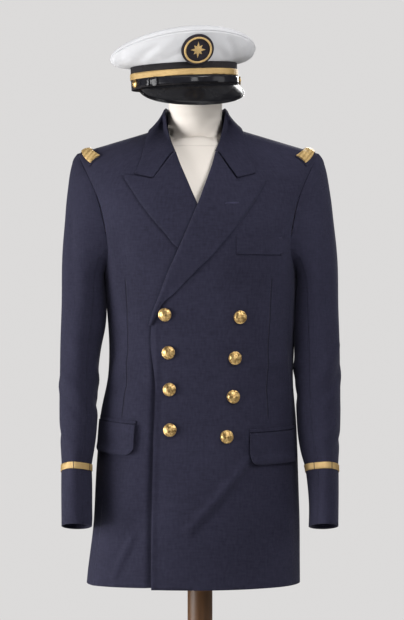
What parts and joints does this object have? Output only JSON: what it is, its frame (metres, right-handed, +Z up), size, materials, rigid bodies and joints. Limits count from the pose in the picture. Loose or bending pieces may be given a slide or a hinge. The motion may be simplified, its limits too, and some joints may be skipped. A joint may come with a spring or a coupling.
{
  "type": "naval uniform coat and peaked cap on a dress form",
  "caption": "Double-breasted naval coat with peaked lapels and gilt buttons, and a white-topped peaked cap, on a limbless dress form with pole and round base.",
  "frame": {"origin": "on the floor, under the middle of the round base's underside", "axes": "+Z up; -Y is the coat's front, the way that the wearer faces; +X is the wearer's left"},
  "size_m": [0.5174, 0.38, 1.6271],
  "materials": {
    "navy_cloth": "worsted wool",
    "cap_band_cloth": "dark ribbed cloth",
    "white_cover": "plain cotton",
    "gold_braid": "metallic lace",
    "gilt_buttons": "gilt",
    "patent": "patent",
    "form_cover": "cream cotton jersey",
    "form_wood": "stained and waxed"
  },
  "bodies": {
    "root": {"badge_patch": "cap_band_cloth", "badge_ring": "gold_braid", "badge_star": "gold_braid", "breast_welt": "navy_cloth", "cap_band": "cap_band_cloth", "cap_button_left": "gilt_buttons", "cap_button_right": "gilt_buttons", "cap_lace": "gold_braid", "cap_side": "white_cover", "cap_top": "white_cover", "cap_visor": "patent", "cap_visor_rim": "patent", "chin_strap": "patent", "coat_back_left": "navy_cloth", "coat_back_right": "navy_cloth", "coat_button_1": "gilt_buttons", "coat_button_2": "gilt_buttons", "coat_button_3": "gilt_buttons", "coat_button_4": "gilt_buttons", "coat_button_5": "gilt_buttons", "coat_button_6": "gilt_buttons", "coat_button_7": "gilt_buttons", "coat_button_8": "gilt_buttons", "coat_front_left": "navy_cloth", "coat_front_right": "navy_cloth", "coat_side_left": "navy_cloth", "coat_side_right": "navy_cloth", "collar": "navy_cloth", "flap_left": "navy_cloth", "flap_right": "navy_cloth", "form_base": "form_wood", "form_pole": "form_wood", "form_torso": "form_cover", "jet_left": "navy_cloth", "jet_right": "navy_cloth", "lapel_left": "navy_cloth", "lapel_right": "navy_cloth", "loop_backing_left": "navy_cloth", "loop_backing_right": "navy_cloth", "loop_braid_left": "gold_braid", "loop_braid_right": "gold_braid", "sleeve_stripe_left": "gold_braid", "sleeve_stripe_right": "gold_braid", "sleeve_top_left": "navy_cloth", "sleeve_top_right": "navy_cloth", "sleeve_under_left": "navy_cloth", "sleeve_under_right": "navy_cloth", "strap_keeper_1": "patent", "strap_keeper_2": "patent"}
  },
  "joints": []
}
